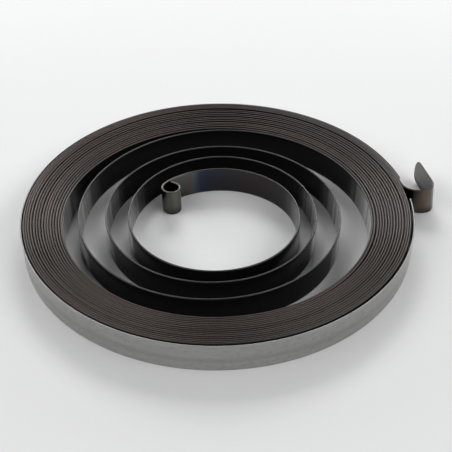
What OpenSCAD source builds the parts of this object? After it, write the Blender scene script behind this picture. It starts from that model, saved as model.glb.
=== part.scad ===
// Flat spiral spring of a pull starter, lying in the open steel band that holds it wound.
// The coil's axis is the Z axis, the floor is z = 0, and +Y is the back of the coil.
// Seen from above, the strip runs clockwise from the eye in the middle to the hook at the rim.

/* [Strip] */
// Width of the spring strip, which is the height of the coil
strip_width = 6; // [4:0.5:10]
// Thickness of the spring strip
strip_thickness = 0.4; // [0.3:0.02:0.5]

/* [Coil] */
// Radius of the outer face where the last turn ends and the hook begins
coil_radius = 40.2; // [38:0.1:60]
// Whole turns between the eye and the hook
coil_turns = 18; // [16:1:20]
// Gap between neighbouring turns at the front, where they are pressed together
tight_gap = 0.037; // [0.03:0.001:0.08]
// Further gap that each turn leaves at the back, where the turns stand apart
back_slack = 0.342; // [0.1:0.002:0.4]
// How narrowly that slack gathers at the back
slack_focus = 1.3; // [1:0.1:2]

/* [Loose turns] */
// How far the start of the strip has fallen inwards from the packed turns
fall_depth = 14; // [11:0.5:15]

/* [Eye] */
// Direction from the coil's axis in which the eye lies, in degrees
eye_azimuth = 146.5; // [140:0.5:156]
// Diameter of the reamed hole in the eye
eye_bore = 3.3; // [2.6:0.1:4]
// Angle that the strip is curled through, in degrees
eye_sweep = 315; // [280:1:318]

/* [Hook] */
// Direction from the coil's axis in which the last turn bends out, in degrees
hook_azimuth = 9; // [4:0.5:20]
// Radius at the middle of the strip of the bend that leaves the coil
root_radius = 3.2; // [2:0.1:5]
// Angle of that bend, in degrees
root_turn = 78; // [65:1:85]
// Length of the straight arm between the two bends
arm_length = 1.1; // [0.5:0.1:4]
// Radius at the middle of the strip of the bend at the outer corner
corner_radius = 2.5; // [1.5:0.1:4]
// Angle of that bend, in degrees
corner_turn = 103; // [85:1:110]
// Length of the straight tail, up to the tip of its rounded end
tail_length = 9.7; // [6:0.1:12]

/* [Retaining band] */
// Thickness of the band
band_thickness = 0.25; // [0.2:0.05:0.6]
// Gap between the band and the end of the last turn
band_clearance = 0.03; // [0.02:0.01:0.3]
// Angle that the band stands open behind the root of the hook, in degrees
open_behind = 3; // [2:0.5:10]
// Angle that the band stands open in front of the root of the hook, in degrees
open_in_front = 8.2; // [7.5:0.1:20]

/* [Hidden] */

spring_colour = [0.22, 0.205, 0.2];
band_colour = [0.62, 0.63, 0.62];

// Stretches of the coil and of the bends, for the outline
facets_per_turn = 64;
facet_angle = 360 / facets_per_turn;
bend_facets = 12;
eye_facets = 40;
heading_step = facet_angle / 10;

// Line of the middle of the strip, counted in degrees of winding from the eye
wind_angle = eye_azimuth - hook_azimuth + 360 * coil_turns;
whole_facets = ceil(wind_angle / facet_angle) - 1;
end_line = coil_radius - strip_thickness / 2;
pitch = strip_thickness + tight_gap;

// Share of the fall that is left at each quarter turn of the loose strip.
// The first value lies on the left just before the eye, and each row then goes
// clockwise round one turn, from the back to the right, the front and the left.
loose_lay = [
    1.02,
    0.98, 0.96, 0.79, 0.86,
    0.69, 0.74, 0.60, 0.56,
    0.45, 0.43, 0.31, 0.19,
    0.02
];
lay_lead = 180 - eye_azimuth;

// The curled end is left a little thick inside and loose on the reamer, then reamed round
ream_stock = 0.06;
ream_ease = 0.01;
eye_line = eye_bore / 2 + strip_thickness / 2 + ream_ease;

// The rounded end of the tail is flatter than a half circle
tongue_flatness = 0.5;
tongue_radius = strip_width / 2 + tongue_flatness;

// How far a cutter reaches past what it cuts
cut_over = 1;

band_radius = coil_radius + band_clearance;
band_open = open_behind + open_in_front;

// Share of the fall at place i of the list, which ends in the packed turns
function lay_at(i) = i < 0 ? loose_lay[0] : i < len(loose_lay) ? loose_lay[i] : 0;

// Smooth curve through the shares, x in quarter turns from the first of them
function lay_share(x) =
    let (i = floor(x))
    let (t = x - i)
    let (a = lay_at(i - 1), b = lay_at(i), c = lay_at(i + 1), d = lay_at(i + 2))
    (2 * b + (c - a) * t + (2 * a - 5 * b + 4 * c - d) * t ^ 2 + (3 * b - a - 3 * c + d) * t ^ 3) / 2;

// Radius of the packed turns n turns before the hook: one pitch less for each turn,
// and from the second turn on the slack as well, all of it at the back and none at the front
function packed_radius(n, azimuth) =
    end_line - n * pitch - back_slack * max(0, n - 1) * ((1 + sin(azimuth)) / 2) ^ slack_focus;

// Middle of the strip after w degrees of winding from the eye
function coil_point(w) =
    let (azimuth = eye_azimuth - w)
    let (fall = fall_depth * lay_share((w + lay_lead) / 90))
    let (r = packed_radius((wind_angle - w) / 360, azimuth) - fall)
    r * [cos(azimuth), sin(azimuth)];

// Heading of the strip there, in degrees, from one side of the place to the other
function coil_heading(w) =
    let (step = coil_point(w + heading_step) - coil_point(w - heading_step))
    atan2(step.y, step.x);

// Station [middle of the strip, heading] after w degrees of winding
function coil_station(w) = [coil_point(w), coil_heading(w)];

// Unit vector to the left of a heading
function left_of(heading) = [-sin(heading), cos(heading)];

// Stations round a bend, which turns left for a radius above 0
function bend(start, heading, radius, turn, facets) =
    let (centre = start + radius * left_of(heading))
    [for (k = [0 : facets]) let (h = heading + turn * k / facets) [centre - radius * left_of(h), h]];

// Station at a distance straight on from another
function ahead(station, distance) =
    [station[0] + distance * [cos(station[1]), sin(station[1])], station[1]];

function last(list) = list[len(list) - 1];
function reversed(list) = [for (k = [len(list) - 1 : -1 : 0]) list[k]];

// Stations of each stretch of the strip, from the curled end to the tip of the tail.
// Those of the coil are counted back from the hook, so that each turn's facets lie along the next one's.
eye_start = coil_station(0);
eye_centre = eye_start[0] - eye_line * left_of(eye_start[1]);
eye_path = bend(eye_start[0], eye_start[1], -eye_line, eye_sweep, eye_facets);
coil_path = [for (k = [whole_facets : -1 : 1]) coil_station(wind_angle - k * facet_angle)];
hook_start = coil_station(wind_angle);
root_path = bend(hook_start[0], hook_start[1], root_radius, root_turn, bend_facets);
arm_end = ahead(last(root_path), arm_length);
corner_path = bend(arm_end[0], arm_end[1], corner_radius, corner_turn, bend_facets);
tail_tip = ahead(last(corner_path), tail_length);
strip_path = concat([eye_start], coil_path, root_path, corner_path, [tail_tip]);
curl_path = [for (k = [1 : len(eye_path) - 1]) eye_path[k]];

// Points at a distance to the left of a row of stations
function beside(path, distance) = [for (s = path) s[0] + distance * left_of(s[1])];

// Outline of the whole strip seen from above: the outer faces from the curled end to the tail,
// then the inner faces back
function strip_outline() =
    let (half = strip_thickness / 2)
    concat(
        beside(reversed(curl_path), half),
        beside(strip_path, half),
        beside(reversed(strip_path), -half),
        beside(curl_path, -half - ream_stock)
    );

// What is cut from the square end of the tail to leave a rounded tongue
module tongue_cutter() {
    wide = strip_thickness + 2 * cut_over;
    translate([tail_tip[0].x, tail_tip[0].y, strip_width / 2])
        rotate([0, 0, tail_tip[1]])
            translate([-tongue_radius, 0, 0])
                difference() {
                    translate([0, -wide / 2, -strip_width / 2 - cut_over])
                        cube([tongue_radius + cut_over, wide, strip_width + 2 * cut_over]);
                    rotate([90, 0, 0])
                        cylinder(h = wide + cut_over, r = tongue_radius, center = true, $fn = 96);
                }
}

module spiral_spring() {
    color(spring_colour)
        difference() {
            linear_extrude(height = strip_width)
                polygon(strip_outline());
            translate([eye_centre.x, eye_centre.y, -cut_over])
                cylinder(h = strip_width + 2 * cut_over, d = eye_bore, $fn = 96);
            tongue_cutter();
        }
}

module retaining_band() {
    color(band_colour)
        rotate([0, 0, hook_azimuth + open_behind])
            rotate_extrude(angle = 360 - band_open, $fn = 256)
                translate([band_radius, 0])
                    square([band_thickness, strip_width]);
}

spiral_spring();
retaining_band();
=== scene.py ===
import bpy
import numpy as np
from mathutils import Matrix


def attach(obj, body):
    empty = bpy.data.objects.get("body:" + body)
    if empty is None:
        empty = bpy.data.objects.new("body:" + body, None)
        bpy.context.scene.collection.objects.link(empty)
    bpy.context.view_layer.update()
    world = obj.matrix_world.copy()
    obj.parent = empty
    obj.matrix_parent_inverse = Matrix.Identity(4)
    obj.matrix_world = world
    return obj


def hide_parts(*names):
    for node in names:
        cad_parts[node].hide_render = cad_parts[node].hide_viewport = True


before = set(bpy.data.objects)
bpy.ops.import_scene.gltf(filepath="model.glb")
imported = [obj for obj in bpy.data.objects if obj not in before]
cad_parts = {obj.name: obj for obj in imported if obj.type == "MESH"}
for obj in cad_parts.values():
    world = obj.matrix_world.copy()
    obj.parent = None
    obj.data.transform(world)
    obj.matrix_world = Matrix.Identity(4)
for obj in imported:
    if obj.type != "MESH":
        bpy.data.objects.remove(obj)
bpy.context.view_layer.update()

# %% [markdown]
# # The spring of a pull starter
#
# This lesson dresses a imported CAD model: a flat spiral spring of dark tempered strip, lying in the
# thin bright band that keeps it wound. Both pieces are long, thin and smooth, so their looks come from
# three things: the exact line that the strip follows, its rounded edges, and what the polished
# faces mirror. The frame is the CAD frame in metres, with the coil's axis on Z and the floor at z = 0.

MM = 0.001


# %% [markdown]
# ## The camera
#
# The photograph looks down on the coil at about 39 degrees. A camera could be placed by eye, but a
# ring gives enough to work it out: the two ellipses of the band's top and bottom edges fix the
# distance, the angle and the lens. The result is kept here as a handful of numbers.

# %% Camera
IMAGE_SIDE = 452
FOCAL_PIXELS = 814.06
SENSOR = 36.0
NEAR_CLIP = 0.01
CAMERA_DISTANCE = 173.45 * MM
CAMERA_ELEVATION = np.radians(38.729)
CAMERA_TARGET = np.array([1.73, -0.297, 0.0]) * MM
CAMERA_ROLL = -0.00566


def aim(thing, place, target, roll=0.0):
    """Puts a camera or a lamp into the scene at a place, looking at a target. Its backward axis points
    from the target to the place, its right axis is level, and its up axis is square to both. Right and
    up then turn about backward by the roll: cos * right + sin * up and cos * up - sin * right."""
    back = (place - target) / np.linalg.norm(place - target)
    right = np.cross([0, 0, 1], back)
    right /= np.linalg.norm(right)
    up = np.cross(back, right)
    c, s = np.cos(roll), np.sin(roll)
    stand = np.eye(4)
    stand[:3] = np.stack([c * right + s * up, c * up - s * right, back, place], 1)
    thing.matrix_world = Matrix(stand.tolist())
    bpy.context.scene.collection.objects.link(thing)


camera = bpy.data.objects.new("camera", bpy.data.cameras.new("camera"))
camera.data.sensor_width = SENSOR
camera.data.lens = SENSOR * FOCAL_PIXELS / IMAGE_SIDE
camera.data.clip_start = NEAR_CLIP
place = CAMERA_DISTANCE * np.array([0, -np.cos(CAMERA_ELEVATION), np.sin(CAMERA_ELEVATION)])
aim(camera, place, CAMERA_TARGET, CAMERA_ROLL)
bpy.context.scene.camera = camera
print("camera at mm", np.round(place / MM, 1), "lens", round(camera.data.lens, 2))

# %% [markdown]
# ## Nodes written as sums
#
# A material is a graph of nodes. Wiring each node by hand hides the idea behind it, so a small class
# wraps a socket and lets Python's operators add the Math nodes. Every other node comes from its one
# method, which takes the node's type, its settings and its inputs.


# %% Wire class
class Wire:
    """A node tree's socket. wire * 2, 1 - wire and the like add Math nodes and give new wires."""

    def __init__(self, tree, socket=None):
        self.tree = tree
        self.socket = socket

    def node(self, kind, settings=None, inputs=None, out=0):
        """Adds a node: settings first (stops fill a ramp), then inputs by name or number."""
        made = self.tree.nodes.new(kind)
        for key, value in (settings or {}).items():
            if key == "stops":
                ramp = made.color_ramp.elements
                while len(ramp) < len(value):
                    ramp.new(1.0)
                for stop, (where, colour) in zip(ramp, value):
                    stop.position = where
                    stop.color = (*colour, 1.0)
            else:
                setattr(made, key, value)
        for key, value in (inputs or {}).items():
            if isinstance(value, Wire):
                self.tree.links.new(value.socket, made.inputs[key])
            else:
                made.inputs[key].default_value = value
        return Wire(self.tree, made.outputs[out])

    def math(self, operation, a, b):
        """A Math node on two wires or numbers."""
        return self.node("ShaderNodeMath", {"operation": operation}, {0: a, 1: b})

    def __add__(self, other):
        return self.math("ADD", self, other)

    __radd__ = __add__

    def __sub__(self, other):
        return self.math("SUBTRACT", self, other)

    def __rsub__(self, other):
        return self.math("SUBTRACT", other, self)

    def __mul__(self, other):
        return self.math("MULTIPLY", self, other)

    __rmul__ = __mul__

    def blend(self, a, b):
        """Colour a where this wire is 0, colour b where it is 1."""
        return self.node("ShaderNodeMix", {"data_type": "RGBA"}, {0: self, 6: a, 7: b}, out=2)

    def step(self, low, high):
        """0 below low, 1 above high, and smooth between them."""
        ends = {"Value": self, "From Min": low, "From Max": high}
        return self.node("ShaderNodeMapRange", {"interpolation_type": "SMOOTHSTEP"}, ends)

    def ramp(self, stops, length):
        """Colour from a ramp whose stops, from 0 to 1, are spread over a length."""
        return self.node("ShaderNodeValToRGB", {"stops": stops}, {0: self * (1 / length)})

    def attribute(self, name):
        """A number that the mesh carries at each of its points."""
        return self.node("ShaderNodeAttribute", {"attribute_name": name}, out=2)

    def grain(self, along, across, depth=0.0, detail=2.0):
        """Noise from 0 to 1 at a place that is given by three numbers."""
        spot = self.node("ShaderNodeCombineXYZ", None, {0: along, 1: across, 2: depth})
        return self.node("ShaderNodeTexNoise", None, {"Vector": spot, "Scale": 1.0, "Detail": detail})


print("Wire adds a Math node for each +, - and *")

# %% [markdown]
# ## The floor
#
# The coil lies on a sheet of pale matt paper, which takes the soft shadows. Four corners are enough for
# it, laid a hair below the strip so that the two surfaces never share a plane. Its material shows how
# each one starts here: one Principled shader, on which a value that is the same all over the piece is
# set directly. Only what varies is wired to nodes later.

# %% Floor
FLOOR_HALF = 2.0
FLOOR_DROP = 0.02 * MM
PAPER_WHITE = (0.83, 0.833, 0.833, 1)


def socket_name(key):
    """Label of a shader's socket from a Python name: specular_ior_level is Specular IOR Level."""
    return key.replace("_", " ").title().replace("Ior", "IOR")


def new_finish(name, **sockets):
    """A material with one Principled shader. The sockets given here are the same all over it."""
    finish = bpy.data.materials.new(name)
    finish.use_nodes = True
    shader = next(n for n in finish.node_tree.nodes if n.type == "BSDF_PRINCIPLED")
    for key, value in sockets.items():
        shader.inputs[socket_name(key)].default_value = value
    return finish, shader, Wire(finish.node_tree)


paper, _, _ = new_finish("paper", base_color=PAPER_WHITE, roughness=0.9, specular_ior_level=0.1)
floor_mesh = bpy.data.meshes.new("floor")
corners = FLOOR_HALF * np.array([[-1, -1], [1, -1], [1, 1], [-1, 1]])
floor_mesh.from_pydata([(x, y, -FLOOR_DROP) for x, y in corners], [], [(0, 1, 2, 3)])
floor_mesh.materials.append(paper)
floor = bpy.data.objects.new("floor", floor_mesh)
bpy.context.scene.collection.objects.link(floor)
print("floor", 2 * FLOOR_HALF, "m across")

# %% [markdown]
# ## The light
#
# Polished dark steel has almost no colour of its own: it shows what it mirrors. In the photograph the
# strip's edges are bright at the left and right and dull at the front and back, and the shadows are
# soft. One lamp above would put the same bright line on every edge, and an all-round glow would grey
# the black faces. So nine soft panels stand round the coil, and the world itself is dark. Their places
# and strengths were found by fitting and by trial against the photograph.

# %% Light
PANEL_DISTANCE = 0.6
# Azimuth and elevation in degrees, width and height in metres, watts
PANELS = {
    "back": (90, 37, 0.28, 0.20, 1.52),
    "back_left": (130, 14, 0.30, 0.16, 1.20),
    "back_right": (50, 14, 0.30, 0.16, 1.20),
    "far_left": (155, 28, 0.25, 0.25, 0.30),
    "far_right": (25, 28, 0.25, 0.25, 0.30),
    "left": (180, 35, 0.30, 0.25, 0.54),
    "right": (0, 35, 0.30, 0.25, 0.54),
    "front_left": (216, 42, 0.50, 0.36, 1.12),
    "front_right": (324, 42, 0.50, 0.36, 1.12),
}


def panel(name, azimuth, elevation, width, height, watts):
    """A soft panel that faces the coil from an azimuth (from +X, anticlockwise) and an elevation."""
    a, e = np.radians([azimuth, elevation])
    spot = PANEL_DISTANCE * np.array([np.cos(e) * np.cos(a), np.cos(e) * np.sin(a), np.sin(e)])
    lamp = bpy.data.lights.new(name, "AREA")
    lamp.shape = "RECTANGLE"
    lamp.size = width
    lamp.size_y = height
    lamp.energy = watts
    aim(bpy.data.objects.new(name, lamp), spot, np.zeros(3))


for name, settings in PANELS.items():
    panel(name, *settings)
world = bpy.data.worlds.new("studio")
world.use_nodes = True
world.node_tree.nodes["Background"].inputs["Strength"].default_value = 0.0
bpy.context.scene.world = world
bpy.context.scene.view_settings.view_transform = "Standard"
print(len(PANELS), "panels,", round(sum(p[-1] for p in PANELS.values()), 2), "W in all")

# %% [markdown]
# ## A profile with rounded edges
#
# The edges of spring strip are rounded, so that it doesn't crack from a nick. A bevel modifier could
# round a box, but the edges carry most of the highlights in this picture, so they are
# drawn into the cross-section itself: two flat faces that half ellipses join above and below.

# %% Strip profile
STRIP_THICKNESS = 0.4
STRIP_WIDTH = 6.0
EDGE_CROWN = 0.28
CROWN_STEPS = 8
# Each flat face has a row of points this far from its ends, which keeps its shading flat
FACE_MARGIN = 0.25


def strip_profile(thickness, width, crown):
    """Cross-section of a strip with rounded edges, anticlockwise from the foot of its left face:
    flat faces at plus and minus half the thickness, joined above and below by half ellipses
    (half thickness * cos t, crown * sin t). Columns: across, height, and a mark of the edges, which
    is 0 on the faces and rises as 2 sin t to 1."""
    t = np.linspace(0, np.pi, CROWN_STEPS + 1)
    half, flat = thickness / 2, width / 2 - crown
    edge = np.clip(2 * np.sin(t), 0, 1)
    top = np.stack([half * np.cos(t), flat + crown * np.sin(t), edge], 1)
    left = np.array([[half, -flat + FACE_MARGIN, 0], [half, flat - FACE_MARGIN, 0]])
    turned = np.array([-1, -1, 1])
    return np.concatenate([left, top, left * turned, top * turned])


profile = strip_profile(STRIP_THICKNESS, STRIP_WIDTH, EDGE_CROWN)
print("strip profile of", len(profile), "points")

# %% [markdown]
# ## The profile carried along a line
#
# Both pieces are one cross-section drawn out along a line, as the strip mill made them. A curve object
# with a bevel could do that, but it gives no hold on the rounded tongue or on the numbers that the
# finish needs. So the surface is worked out as one grid: places along the line one way,
# places round the cross-section the other.

# %% Drawing out
SHARP_DEGREES = 50


def left_of(heading):
    """Unit vectors square to the headings, on their left: (-sin, cos)."""
    return np.stack([-np.sin(heading), np.cos(heading)], 1)


def draw_out(name, line, heading, profile, middle, shrink, thin, lean, carried):
    """A solid strip as a grid of points: at each station of the line the profile stands upright, its
    first column to the left of the heading. middle is the height of its centre there, shrink how much
    is taken off its upper and lower halves, thin the share of its thickness that is left, and lean how
    far its foot stands out to the left. carried holds numbers for each station that the finish reads.
    All lengths are in mm."""
    across, height, edge = profile.T
    up = np.sign(height)[None] * np.maximum(np.abs(height)[None] - shrink[:, None], 0)
    share = 0.5 - height / np.ptp(height)
    side = across[None] * thin[:, None] + lean[:, None] * share[None]
    points = np.empty((len(line), len(profile), 3))
    points[..., :2] = line[:, None] + side[..., None] * left_of(heading)[:, None]
    points[..., 2] = middle[:, None] + up
    n, m = points.shape[:2]
    index = np.arange(n * m).reshape(n, m)
    following = np.roll(index, -1, 1)
    quads = np.stack([index[:-1], index[1:], following[1:], following[:-1]], -1).reshape(-1, 4)
    caps = [index[0].tolist(), index[-1, ::-1].tolist()]
    mesh = bpy.data.meshes.new(name)
    mesh.from_pydata((points.reshape(-1, 3) * MM).tolist(), [], quads.tolist() + caps)
    mesh.polygons.foreach_set("use_smooth", np.ones(len(mesh.polygons), bool))
    mesh.set_sharp_from_angle(angle=np.radians(SHARP_DEGREES))
    rows = {"edge": edge[None], "up": height[None], "side": across[None]}
    columns = {key: values[:, None] for key, values in carried.items()}
    for key, values in {**rows, **columns}.items():
        spread = np.broadcast_to(values, (n, m)).astype(np.float32)
        mesh.attributes.new(key, "FLOAT", "POINT").data.foreach_set("value", spread.ravel())
    made = bpy.data.objects.new(name, mesh)
    bpy.context.scene.collection.objects.link(made)
    print(name, n, "stations of", m, "points,", 2 * len(quads), "triangles")
    return made


print("edges sharper than", SHARP_DEGREES, "degrees stay sharp")

# %% [markdown]
# ## The loose turns
#
# Seen from above, the strip runs clockwise from a curled eye to a hook at the rim. Fifteen turns lie
# packed against the band, and three loose turns have fallen inwards. The loose turns could be drawn by
# hand, but then no rule would keep them apart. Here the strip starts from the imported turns, and a share
# of one fall is taken off its radius. The share is read off at each quarter turn and dies away.

# %% Fall of the loose turns
COIL_TURNS = 18
EYE_AZIMUTH = 146.5
HOOK_AZIMUTH = 9.0
WIND_ANGLE = EYE_AZIMUTH - HOOK_AZIMUTH + 360 * COIL_TURNS
FALL_DEPTH = 14.0
# Share of the fall at each quarter turn, from the left just before the eye
LOOSE_LAY = [1.02, 0.98, 0.96, 0.79, 0.86, 0.69, 0.74, 0.60, 0.56, 0.45, 0.43, 0.31, 0.19, 0.02]


def fall_after(wind):
    """Fall in mm after so many degrees of winding: the fall's depth times a smooth curve, a cubic in
    each quarter turn, through the shares and then through zeros. At a share, the curve is as steep as
    the line from the share before it to the one after. x counts quarter turns from the left."""
    values = np.pad(LOOSE_LAY, (0, 4 * COIL_TURNS))
    x = (wind + 180 - EYE_AZIMUTH) / 90
    i = np.floor(x).astype(int)
    t = x - i
    a, b, c, d = (values[np.maximum(i + k, 0)] for k in (-1, 0, 1, 2))
    cubic = 2 * b + (c - a) * t + (2 * a - 5 * b + 4 * c - d) * t**2 + (3 * b - a - 3 * c + d) * t**3
    return FALL_DEPTH * cubic / 2


print("fall in mm at the eye and 1, 2 and 3 turns on:", np.round(fall_after(360.0 * np.arange(4)), 1))

# %% [markdown]
# ## Gaps, wander and bulge
#
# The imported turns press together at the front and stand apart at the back. No coil is wound quite
# evenly: a few gaps have opened, the turns at the back wander by a tenth of a millimetre, and at the
# back right the coil bulges and pushes the band out with it. Sculpting all this would take a long time.
# Smooth steps and raised cosines of the azimuth do it with a few numbers each.

# %% Uneven winding
# Slack taken up by the time the strip is 0, 1, 2 ... turns in from the hook: four turns lie close,
# then there is a wide gap
SLACK_TURNS = [0, 0, 0.15, 0.32, 2.0, 3.05, 4.3, 5.5, 6.8, 7.75, 8.8, 9.95, 10.8, 11.9, 13.0, 14.0]
PACKED_TURNS = len(SLACK_TURNS) - 1
# Width in mm, turns from the hook where it begins and is full, then degrees: its middle and half its length
OPENED_GAPS = [(0.10, 7.1, 7.5, 292, 62), (0.16, 13.1, 13.5, 335, 50)]
# Wander in mm, turns between its random values, and the turns where it sets in and dies away
WANDER, WANDER_STEP, WANDER_SEED = 0.12, 0.31, 5
WANDER_FROM, WANDER_TO = (3.5, 4.5), (15.5, 14.5)
# Bulge in mm, the azimuth of its middle and half its length in degrees
BULGE, BULGE_AZIMUTH, BULGE_HALF = 0.26, 68, 85


def smooth(x, low, high):
    """0 up to low, 1 from high on, and 3 t^2 - 2 t^3 between them. high may be the smaller."""
    t = np.clip((x - low) / (high - low), 0, 1)
    return t * t * (3 - 2 * t)


def near(azimuth, centre, half_width):
    """1 at an azimuth, falling to 0 on a raised cosine at half_width degrees from it."""
    off = (azimuth - centre + 180) % 360 - 180
    return np.where(np.abs(off) < half_width, 0.5 + 0.5 * np.cos(np.pi * off / half_width), 0.0)


def wander(x, step, seed):
    """A smooth random curve from -1 to 1: one random value for each step of x, and cosine steps
    between them."""
    values = np.random.default_rng(seed).uniform(-1, 1, int(x.max() / step) + 3)
    i = np.floor(x / step).astype(int)
    t = 0.5 - 0.5 * np.cos(np.pi * (x / step - i))
    return values[i] * (1 - t) + values[i + 1] * t


def bulge(azimuth):
    """How far the wound turns push the band out of round at an azimuth, in mm: a raised cosine."""
    return BULGE * near(azimuth, BULGE_AZIMUTH, BULGE_HALF)


def strayed(turns, azimuth, back):
    """How far the turns have strayed inwards, in mm: a smooth step over the turns times a raised
    cosine for each opened gap, and a random curve that is strongest at the back."""
    stray = WANDER * back * smooth(turns, *WANDER_FROM) * smooth(turns, *WANDER_TO)
    stray = stray * wander(turns, WANDER_STEP, WANDER_SEED)
    for width, start, full, centre, half in OPENED_GAPS:
        stray = stray + width * smooth(turns, start, full) * near(azimuth, centre, half)
    return stray


print(PACKED_TURNS, "packed turns,", len(OPENED_GAPS), "opened gaps, bulge of", BULGE, "mm")

# %% [markdown]
# ## The line of the coil
#
# With those parts the whole coil is one formula for the radius. It could be built turn by turn, but
# then each turn would have to be fitted to the last. One formula keeps every gap in order, down to a few
# hundredths of a millimetre at the front.

# %% Coil line
COIL_RADIUS = 40.2
TIGHT_GAP = 0.037
BACK_SLACK = 0.342
SLACK_FOCUS = 1.3
# Turns from the hook where the strip, coming from the loose turns, takes on the bulge
BULGE_FADE = (16.0, 15.5)
STATIONS_PER_TURN = 180
# Degrees of winding where the bend of the eye meets the coil
CURL_START = 11.832


def coil_line(wind):
    """Middle of the strip after so many degrees of winding from the eye. Radius = end line
    - turns * pitch - slack at the back - fall of the loose turns - what the turns have strayed
    + bulge, which the loose turns don't have."""
    azimuth = EYE_AZIMUTH - wind
    turns = (WIND_ANGLE - wind) / 360
    back = ((1 + np.sin(np.radians(azimuth))) / 2) ** SLACK_FOCUS
    packed_slack = np.interp(turns, np.arange(PACKED_TURNS + 1), SLACK_TURNS)
    slack = np.where(turns < PACKED_TURNS, packed_slack, turns - 1)
    radius = COIL_RADIUS - STRIP_THICKNESS / 2 - turns * (STRIP_THICKNESS + TIGHT_GAP)
    radius = radius - BACK_SLACK * slack * back - fall_after(wind) - strayed(turns, azimuth, back)
    radius = radius + bulge(azimuth) * smooth(turns, *BULGE_FADE)
    return radius[:, None] * np.stack([np.cos(np.radians(azimuth)), np.sin(np.radians(azimuth))], 1)


def headings(line):
    """Heading at each point of a line, from the neighbours on both sides."""
    step = np.gradient(line, axis=0)
    return np.unwrap(np.arctan2(step[:, 1], step[:, 0]))


wind = np.linspace(CURL_START, WIND_ANGLE, int((WIND_ANGLE - CURL_START) / 360 * STATIONS_PER_TURN))
coil = coil_line(wind)
coil_heading = headings(coil)
print("coil of", round((WIND_ANGLE - CURL_START) / 360, 2), "turns,", len(coil), "stations")

# %% [markdown]
# ## The eye
#
# The inner end is bent into an eye for the pulley's pin. It could be an arc, but a real bend is not
# quite round: what a bender sets is the curvature along the strip. So that is what is written down, how
# sharply the strip turns at each place. Adding up the curvature gives the heading, and adding
# up the heading gives the line. The last stretch bends slightly back, which leaves the hole shaped like
# a drop.

# %% Eye
EYE_LENGTH = 13.85
EYE_PLACES = [0, 0.146, 0.292, 0.438, 0.73, 0.847, 0.973, 1]
EYE_CURVATURE = [0.106, 0.092, 0.491, 0.501, 0.591, 0.499, -0.303, -0.303]
EYE_STATIONS = 90


def bent(start, heading, length, places, curvature, stations):
    """Line from a start: heading(s) = heading + sum of the curvature, point(s) = start + sum of the
    heading's unit vector. The curvature, per mm, runs straight between its values at the given shares
    of the length."""
    s = np.linspace(0, length, stations)
    k = np.interp(s / length, places, curvature)
    step = s[1] - s[0]
    turn = np.concatenate([[0], np.cumsum((k[1:] + k[:-1]) / 2 * step)])
    way = np.stack([np.cos(heading + turn), np.sin(heading + turn)], 1)
    line = start + np.concatenate([np.zeros((1, 2)), np.cumsum((way[1:] + way[:-1]) / 2 * step, 0)])
    return line, heading + turn


inward = coil_heading[0] + np.pi
eye, eye_heading = bent(coil[0], inward, EYE_LENGTH, EYE_PLACES, EYE_CURVATURE, EYE_STATIONS)
strip_beside = np.concatenate([eye[: EYE_STATIONS // 3], coil[: STATIONS_PER_TURN // 3]])
end_gap = np.linalg.norm(eye[-1] - strip_beside, axis=1).min()
print("eye's end at mm", np.round(eye[-1], 2), "and", round(end_gap, 2), "mm from the strip's middle line")

# %% [markdown]
# ## The hook
#
# The outer end leaves the coil, bends outwards, bends back round a corner and ends in a straight tail,
# which hooks onto the starter's case. Arcs and straight lines joined end to end would show a break in
# the reflections where they meet. So the hook is bent by the eye's helper, from a curvature that rises
# and falls over a fraction of a millimetre at the ends of each bend.

# %% Hook
ROOT_RADIUS, ROOT_TURN = 3.2, np.radians(78)
ARM_LENGTH = 0.65
CORNER_RADIUS, CORNER_TURN = 3.0, np.radians(103.2)
TAIL_LENGTH = 8.9
BEND_EASE = 0.3
HOOK_STATIONS = 260
hook_ends = np.cumsum([ROOT_RADIUS * ROOT_TURN, ARM_LENGTH, CORNER_RADIUS * CORNER_TURN, TAIL_LENGTH])
hook_length = hook_ends[-1]
eased = np.concatenate([[e - BEND_EASE, e + BEND_EASE] for e in (0, *hook_ends[:3])])
root_bend, corner_bend = 1 / ROOT_RADIUS, 1 / CORNER_RADIUS
hook_bends = [0, root_bend, root_bend, 0, 0, corner_bend, corner_bend, 0]
outward = coil_heading[-1]
hook, hook_heading = bent(coil[-1], outward, hook_length, eased / hook_length, hook_bends, HOOK_STATIONS)
print("hook of", round(hook_length, 2), "mm, its tip at mm", np.round(hook[-1], 2))

# %% [markdown]
# ## The strip as one ribbon
#
# Eye, coil and hook are one piece of steel, so their lines are joined before any mesh is made. The
# tail's tip is a rounded tongue. A boolean could cut it, but taking height off the profile towards the
# tip gives the same outline in clean quads. Each turn also stands a few hundredths of a millimetre
# higher or lower than the next, which breaks up the light on the edges.

# %% Strip mesh
TONGUE_RADIUS = 4.2
TONGUE_POWER = 5
TONGUE_DIP = 0.3
# Lift of the turns in mm, turns between its random values, and mm along the hook where it dies away
LIFT, LIFT_STEP, LIFT_SEED = 0.04, 0.23, 8
SETTLED = (-20, 0)
# Places in mm along the hook, and how far the foot of the strip stands out there
LEAN_PLACES, LEAN = [0, 4.9, 7.6, 10.4, 19.0], [0, 0, -0.72, -0.45, -0.02]
# Keeps an end from closing to a point
BLUNT = 0.002


def rounded(s, radius):
    """Share of the thickness at a distance s from a round end: sqrt(1 - (1 - s / radius)^2), then 1."""
    return np.sqrt(np.maximum(1 - (1 - np.clip(s / radius, 0, 1)) ** 2, BLUNT))


line = np.concatenate([eye[:0:-1], coil, hook[1:]])
heading = np.concatenate([eye_heading[:0:-1] - np.pi, coil_heading, hook_heading[1:]])
run = np.concatenate([[0], np.cumsum(np.linalg.norm(np.diff(line, axis=0), axis=1))])
from_tip = run[-1] - run
along_hook = hook_length - from_tip
coil_left = (WIND_ANGLE - wind) / 360
turns = np.concatenate([np.full(len(eye) - 1, coil_left[0]), coil_left, np.zeros(len(hook) - 1)])
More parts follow.
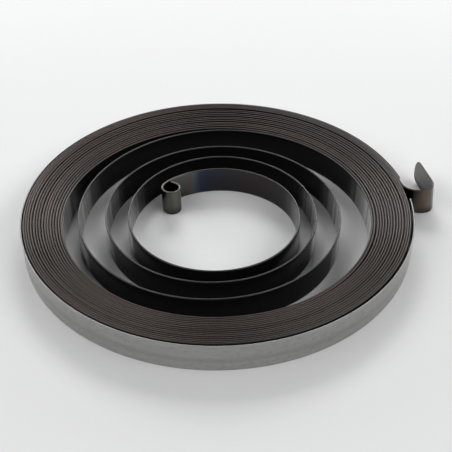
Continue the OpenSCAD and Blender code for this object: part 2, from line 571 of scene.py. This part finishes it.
# Half height at the tongue: the bow sqrt(2 r s) and the half width, joined by a power mean
bow = np.sqrt(2 * TONGUE_RADIUS * np.maximum(from_tip, BLUNT))
half_height = (bow**-TONGUE_POWER + (STRIP_WIDTH / 2) ** -TONGUE_POWER) ** (-1 / TONGUE_POWER)
shrink = STRIP_WIDTH / 2 - half_height
lift = LIFT * (1 + wander(turns, LIFT_STEP, LIFT_SEED)) * (1 - smooth(along_hook, *SETTLED))
middle = STRIP_WIDTH / 2 + lift - TONGUE_DIP * 2 * shrink / STRIP_WIDTH
lean = np.interp(along_hook, LEAN_PLACES, LEAN)
thin = rounded(run, STRIP_THICKNESS / 2) * rounded(from_tip, STRIP_THICKNESS / 2)
carried = {"run": run, "turns": turns, "along_hook": along_hook}
spring = draw_out("spring_strip", line, heading, profile, middle, shrink, thin, lean, carried)
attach(spring, "root")
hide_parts("spiral_spring")

# %% [markdown]
# ## The band
#
# The band is a thin bright strip bent to an open ring. It could be a cylinder with a thickness, but it
# has rounded edges like the spring's strip and an open end by the hook, so it is drawn
# out along an arc in the same way, with the coil's bulge added to its radius.

# %% Band mesh
BAND_THICKNESS = 0.25
BAND_CLEARANCE = 0.03
BAND_CROWN = 0.06
BAND_RADIUS = COIL_RADIUS + BAND_CLEARANCE + BAND_THICKNESS / 2
BAND_FROM, BAND_TO = np.radians(12.0), np.radians(360.8)
BAND_STATIONS = 420
angle = np.linspace(BAND_FROM, BAND_TO, BAND_STATIONS)
band_reach = BAND_RADIUS + bulge(np.degrees(angle))
band_line = band_reach[:, None] * np.stack([np.cos(angle), np.sin(angle)], 1)
none = np.zeros(BAND_STATIONS)
band = draw_out(
    "holding_band",
    band_line,
    headings(band_line),
    strip_profile(BAND_THICKNESS, STRIP_WIDTH, BAND_CROWN),
    middle=none + STRIP_WIDTH / 2,
    shrink=none,
    thin=none + 1,
    lean=none,
    carried={"run": BAND_RADIUS * angle},
)
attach(band, "root")
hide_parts("retaining_band")

# %% [markdown]
# ## Temper colours
#
# The strip was hardened and tempered, and a thin skin of oxide leaves it nearly black. Both ends were
# softened with heat for bending, which left bands of colour: bare grey, straw, brown, purple and blue.
# They could be painted by hand, but the heat spread along the strip, so two colour ramps over the
# distance from each end put them in order. Their stops were chosen to match the photograph.

# %% Temper colours
EYE_TEMPER = [
    # The first two stops are painted shade: they make the strip's free end inside the eye black
    (0.0, (0.003, 0.003, 0.003)),
    (0.012, (0.003, 0.003, 0.003)),
    (0.02, (0.112, 0.109, 0.098)),
    (0.162, (0.112, 0.112, 0.099)),
    (0.182, (0.115, 0.138, 0.108)),
    (0.202, (0.115, 0.132, 0.106)),
    (0.213, (0.135, 0.112, 0.096)),
    (0.22, (0.132, 0.11, 0.096)),
    (0.228, (0.095, 0.118, 0.125)),
    (0.235, (0.08, 0.098, 0.112)),
    (0.247, (0.042, 0.05, 0.085)),
    (0.268, (0.038, 0.040, 0.056)),
    (0.33, (0.040, 0.039, 0.045)),
    (0.40, (0.052, 0.043, 0.044)),
    (0.47, (0.050, 0.046, 0.052)),
    (0.55, (0.040, 0.039, 0.042)),
    (0.85, (0.013, 0.013, 0.0135)),
]
HOOK_TEMPER = [
    (0.0, (0.016, 0.016, 0.0165)),
    (0.17, (0.03, 0.03, 0.032)),
    (0.21, (0.07, 0.06, 0.052)),
    (0.26, (0.125, 0.093, 0.07)),
    (0.32, (0.125, 0.102, 0.082)),
    (0.38, (0.135, 0.132, 0.122)),
    (0.55, (0.132, 0.134, 0.13)),
]
# Lengths in mm that the ramps cover, how far the hook's bands slant with height, where they take over
EYE_TEMPER_LENGTH, HOOK_TEMPER_LENGTH = 80.0, 20.0
HOOK_SLANT = 0.3
HOOK_BEGINS = (-2.0, 0.0)
temper, temper_shader, strip_nodes = new_finish("tempered_strip", specular_ior_level=0.0)
run_mm = strip_nodes.attribute("run")
hook_mm = strip_nodes.attribute("along_hook")
up_mm = strip_nodes.attribute("up")
on_hook = hook_mm.step(*HOOK_BEGINS)
eye_tone = run_mm.ramp(EYE_TEMPER, EYE_TEMPER_LENGTH)
hook_tone = (hook_mm - HOOK_SLANT * up_mm).ramp(HOOK_TEMPER, HOOK_TEMPER_LENGTH)
face = on_hook.blend(eye_tone, hook_tone)
print("temper colours:", len(EYE_TEMPER), "stops from the eye,", len(HOOK_TEMPER), "along the hook")

# %% [markdown]
# ## Edges and feet
#
# The strip's edges are bare of the dark skin: brown-grey, each turn a little different, and palest
# round the eye. The softened ends turn darker and browner towards the foot. Separate materials would
# leave hard borders, so the mesh carries a mark that is 1 on the edges, and blends do the rest.
# Past the first half turn the faces are half dull. That has no known cause: it was fitted to the
# photograph, where they are nearly but not quite black.

# %% Edges and feet
PACKED_BROWN, PACKED_GREY = (0.084, 0.0683, 0.0618, 1), (0.0643, 0.0588, 0.0564, 1)
LOOSE_EDGE = (0.077, 0.077, 0.076, 1)
EYE_EDGE = (0.175, 0.165, 0.155, 1)
FOOT_BROWN = (0.05, 0.036, 0.033, 1)
END_SHADE_BLACK = (0.003, 0.003, 0.003, 1)
# Tone of the edges: changes per mm along the strip and per turn, and the part of the noise that is used
TONE_ALONG, TONE_ACROSS, TONE_RANGE = 0.012, 1.7, (0.35, 0.65)
# Each pair is where a change starts and ends: turns from the hook for the loose turns, mm above the
# strip's middle for the foot, and otherwise mm along the strip or the hook
LOOSE_BEGINS = (14.6, 15.6)
EYE_EDGE_ENDS = (12.0, 20.0)
SOFT_EYE_ENDS, SOFT_HOOK_BEGINS = (14.0, 19.0), (3.0, 7.0)
FOOT_ENDS, FOOT_SHARE = (-2.7, -0.8), 0.8
END_SHADE_ENDS = (0.2, 0.8)
DULL_BEGINS, DULL_SHARE = (55.0, 70.0), 0.5
FACE_ROUGHNESS, EDGE_ROUGHNESS = 0.22, 0.44


def feed(shader, **wires):
    """Links wires to the shader's sockets: base_color=wire feeds Base Color."""
    for key, wire in wires.items():
        wire.tree.links.new(wire.socket, shader.inputs[socket_name(key)])


rim = strip_nodes.attribute("edge")
turn_no = strip_nodes.attribute("turns")
turn_tone = strip_nodes.grain(run_mm * TONE_ALONG, turn_no * TONE_ACROSS).step(*TONE_RANGE)
edge = turn_no.step(*LOOSE_BEGINS).blend(turn_tone.blend(PACKED_BROWN, PACKED_GREY), LOOSE_EDGE)
edge = run_mm.step(*EYE_EDGE_ENDS).blend(EYE_EDGE, edge)
softened = hook_mm.step(*SOFT_HOOK_BEGINS) + (1 - run_mm.step(*SOFT_EYE_ENDS))
foot = softened * (1 - up_mm.step(*FOOT_ENDS))
tone = (FOOT_SHARE * foot).blend(rim.blend(face, edge), FOOT_BROWN)
# Painted shade: the strip's free end inside the eye is blended to black
tone = run_mm.step(*END_SHADE_ENDS).blend(END_SHADE_BLACK, tone)
dulled = run_mm.step(*DULL_BEGINS) * (1 - on_hook) * (1 - rim)
roughness = FACE_ROUGHNESS + (EDGE_ROUGHNESS - FACE_ROUGHNESS) * rim
feed(temper_shader, base_color=tone, roughness=roughness, metallic=1 - DULL_SHARE * dulled)
print("edges, feet and faces:", len(temper.node_tree.nodes), "nodes so far")

# %% [markdown]
# ## Gloss at a glance
#
# Where the loose turns are seen at a glance, they show a streaky brushed gloss. A lighter colour would
# grey the faces seen straight on as well. So a second, bright and brushed shader is mixed in by a Layer
# Weight node, which says how far a face is turned away. Inner faces gain it sooner than outer ones, and
# the first half turn has little of it. Those limits were fitted to the photograph too.

# %% Gloss at a glance
BRUSHED = {
    "Base Color": (0.8, 0.8, 0.79, 1),
    "Metallic": 1.0,
    "Roughness": 0.24,
    "Anisotropic": 0.9,
    "Anisotropic Rotation": 0.25,
}
INNER_GLANCE, OUTER_GLANCE = (0.52, 0.8), (0.74, 0.88)
FACE_CHANGE = (-0.1, 0.1)
# Streaks: changes per mm along the strip and per turn, the part of the noise used, and its shares
STREAK_ALONG, STREAK_ACROSS, STREAK_RANGE = 0.7, 3.0, (0.3, 0.7)
GLOSS_BASE, GLOSS_STREAK = 0.4, 0.75
FIRST_HALF_ENDS, FIRST_HALF_LOSS = (45.0, 75.0), 0.75
glance = strip_nodes.node("ShaderNodeLayerWeight", None, {"Blend": 0.5}, out=1)
outer = strip_nodes.attribute("side").step(*FACE_CHANGE)
inner_share = glance.step(*INNER_GLANCE)
outer_share = glance.step(*OUTER_GLANCE)
streak = strip_nodes.grain(run_mm * STREAK_ALONG, turn_no * STREAK_ACROSS).step(*STREAK_RANGE)
first_half = 1 - run_mm.step(*FIRST_HALF_ENDS)
share = (inner_share + outer * (outer_share - inner_share)) * (GLOSS_BASE + GLOSS_STREAK * streak)
share = share * (1 - rim) * (1 - softened) * (1 - FIRST_HALF_LOSS * first_half)
skin = Wire(temper.node_tree, temper_shader.outputs[0])
mirror = strip_nodes.node("ShaderNodeBsdfPrincipled", None, BRUSHED)
mixed = strip_nodes.node("ShaderNodeMixShader", None, {0: share, 1: skin, 2: mirror})
output = next(n for n in temper.node_tree.nodes if n.type == "OUTPUT_MATERIAL")
temper.node_tree.links.new(mixed.socket, output.inputs["Surface"])
spring.data.materials.append(temper)
print("tempered strip:", len(temper.node_tree.nodes), "nodes")

# %% [markdown]
# ## The band's bare steel
#
# The band is plain rolled strip that was never blued: pale grey, slightly clouded, with long fine
# scratches and a shallow groove along it, whose shade is painted as a darker grey line. An image could
# hold all that, but noise that is stretched along the band needs no file and never repeats. The slit
# edge is painted darker at the back than at the front, as shade where it would catch a highlight, which
# is again fitted to the photograph.

# %% Band finish
BAND_DULL, BAND_PALE = (0.365, 0.365, 0.36, 1), (0.425, 0.425, 0.419, 1)
GROOVE_SHADE_GREY, GROOVE_SHADE_SHARE = (0.31, 0.31, 0.306, 1), 0.5
GROOVE_BEGINS, GROOVE_ENDS = (-1.5, -0.7), (-0.4, 0.4)
SHADED_BACK_EDGE, FRONT_EDGE = (0.07, 0.07, 0.068, 1), (0.3, 0.3, 0.296, 1)
FRONT_BEGINS = (105.0, 135.0)
# Changes per mm along the band and up it, and a depth of its own for each noise
CLOUD_ALONG, CLOUD_UP, CLOUD_DEPTH, CLOUD_SHARE = 0.8, 1.4, 3.0, 0.6
SCRATCH_ALONG, SCRATCH_UP, SCRATCH_DEPTH, SCRATCH_SHARE = 0.05, 3.0, 7.0, 0.4
WORN_RANGE = (0.35, 0.65)
BAND_ROUGHNESS, WORN_ROUGHNESS, RIM_ROUGHNESS = 0.27, 0.06, 0.25
bright, bright_shader, band_nodes = new_finish("band_steel", metallic=1.0)
band_run = band_nodes.attribute("run")
band_up = band_nodes.attribute("up")
band_rim = band_nodes.attribute("edge")
cloud = band_nodes.grain(band_run * CLOUD_ALONG, band_up * CLOUD_UP, CLOUD_DEPTH, detail=4.0)
scratch = band_nodes.grain(band_run * SCRATCH_ALONG, band_up * SCRATCH_UP, SCRATCH_DEPTH)
worn = (CLOUD_SHARE * cloud + SCRATCH_SHARE * scratch).step(*WORN_RANGE)
# Painted shade of the shallow groove: a darker grey line a little below the band's middle
groove_shade = band_up.step(*GROOVE_BEGINS) * (1 - band_up.step(*GROOVE_ENDS))
steel = (GROOVE_SHADE_SHARE * groove_shade).blend(worn.blend(BAND_DULL, BAND_PALE), GROOVE_SHADE_GREY)
# Painted shade: the slit edge is darker at the back than at the front
shaded_slit_edge = band_run.step(*FRONT_BEGINS).blend(SHADED_BACK_EDGE, FRONT_EDGE)
steel = band_rim.blend(steel, shaded_slit_edge)
roughness = BAND_ROUGHNESS + WORN_ROUGHNESS * worn + RIM_ROUGHNESS * band_rim
feed(bright_shader, base_color=steel, roughness=roughness)
band.data.materials.append(bright)
print("band steel:", len(bright.node_tree.nodes), "nodes")
